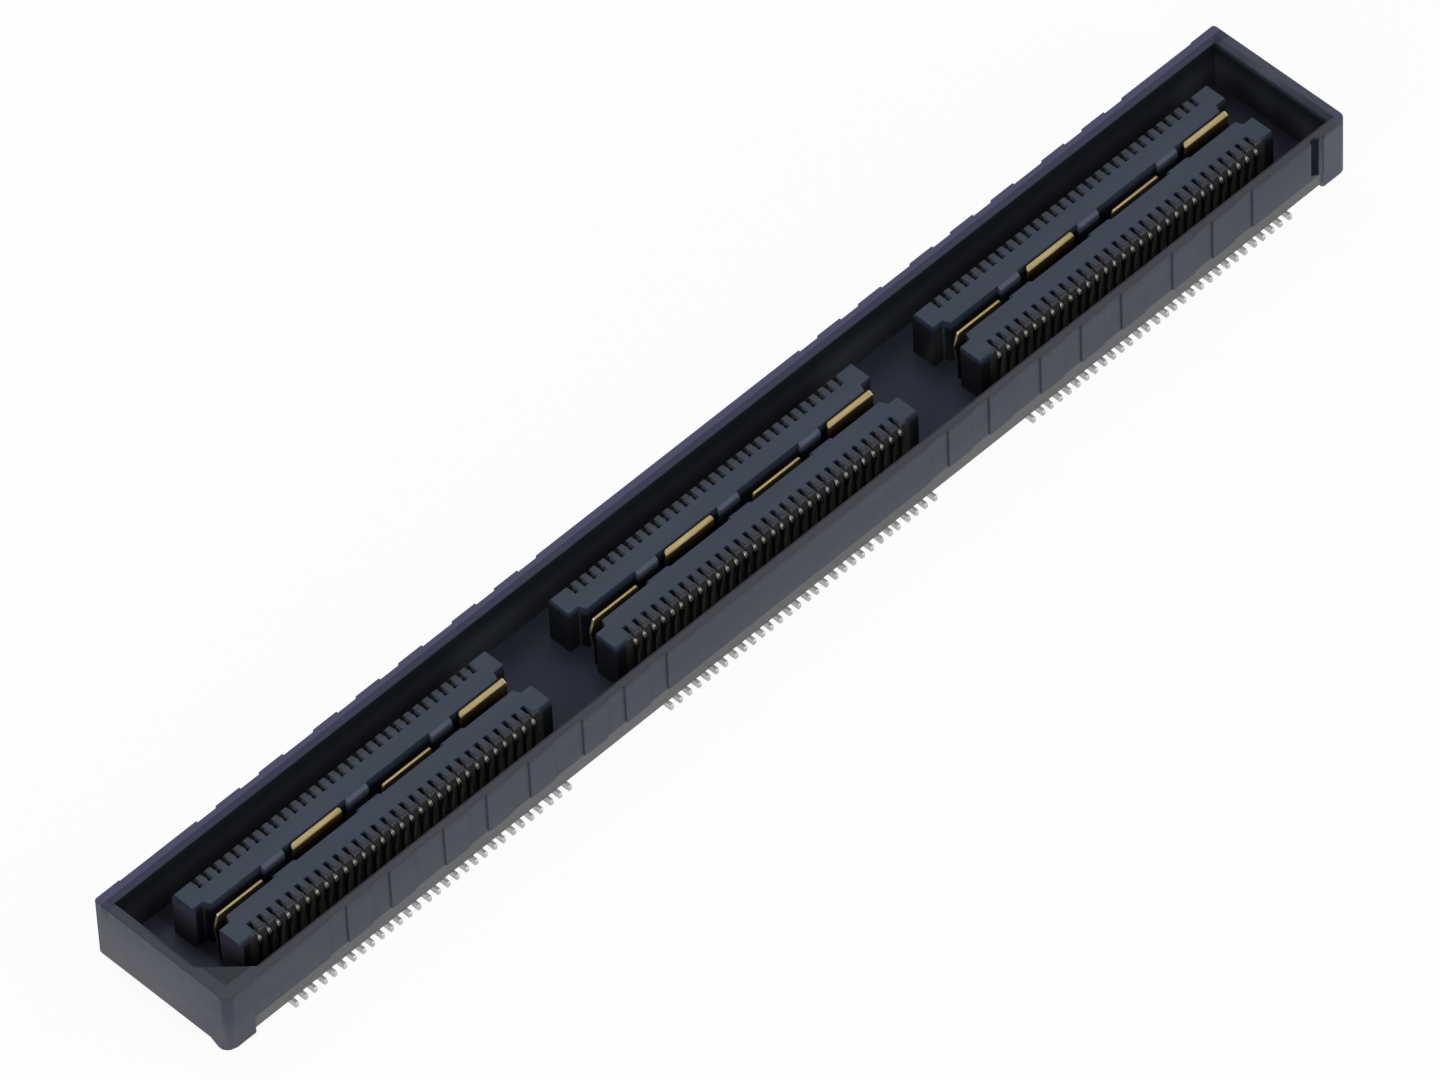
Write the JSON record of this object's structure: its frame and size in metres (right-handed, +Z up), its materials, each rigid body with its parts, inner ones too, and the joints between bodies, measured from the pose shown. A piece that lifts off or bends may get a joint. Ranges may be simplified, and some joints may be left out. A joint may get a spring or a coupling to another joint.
{
  "type": "board-to-board connector socket",
  "caption": "Low surface-mount board-to-board socket: a long dark open tray with slotted contact towers, gold spring contacts, a split ground plane and solder tails along both sides.",
  "frame": {"origin": "centre of the footprint, on the circuit board the feet stand on", "axes": "+X along the banks away from the end with the keying web, +Y across the housing, away from the long wall with the keying web, +Z up, out of the mating cavity"},
  "size_m": [0.0612, 0.0074, 0.0033],
  "materials": {
    "housing": "satin",
    "contact": "satin",
    "ground": "satin"
  },
  "bodies": {
    "root": {"housing": "housing", "bank1_front_contacts_1": "contact", "bank1_front_contacts_2": "contact", "bank1_front_contacts_3": "contact", "bank1_front_contacts_4": "contact", "bank1_front_contacts_5": "contact", "bank1_front_contacts_6": "contact", "bank1_rear_contacts_1": "contact", "bank1_rear_contacts_2": "contact", "bank1_rear_contacts_3": "contact", "bank1_rear_contacts_4": "contact", "bank1_rear_contacts_5": "contact", "bank1_rear_contacts_6": "contact", "bank2_front_contacts_1": "contact", "bank2_front_contacts_2": "contact", "bank2_front_contacts_3": "contact", "bank2_front_contacts_4": "contact", "bank2_front_contacts_5": "contact", "bank2_front_contacts_6": "contact", "bank2_rear_contacts_1": "contact", "bank2_rear_contacts_2": "contact", "bank2_rear_contacts_3": "contact", "bank2_rear_contacts_4": "contact", "bank2_rear_contacts_5": "contact", "bank2_rear_contacts_6": "contact", "bank3_front_contacts_1": "contact", "bank3_front_contacts_2": "contact", "bank3_front_contacts_3": "contact", "bank3_front_contacts_4": "contact", "bank3_front_contacts_5": "contact", "bank3_front_contacts_6": "contact", "bank3_rear_contacts_1": "contact", "bank3_rear_contacts_2": "contact", "bank3_rear_contacts_3": "contact", "bank3_rear_contacts_4": "contact", "bank3_rear_contacts_5": "contact", "bank3_rear_contacts_6": "contact", "bank1_ground_blade_1": "ground", "bank1_ground_blade_2": "ground", "bank1_ground_blade_3": "ground", "bank1_ground_blade_4": "ground", "bank2_ground_blade_1": "ground", "bank2_ground_blade_2": "ground", "bank2_ground_blade_3": "ground", "bank2_ground_blade_4": "ground", "bank3_ground_blade_1": "ground", "bank3_ground_blade_2": "ground", "bank3_ground_blade_3": "ground", "bank3_ground_blade_4": "ground"}
  },
  "joints": []
}
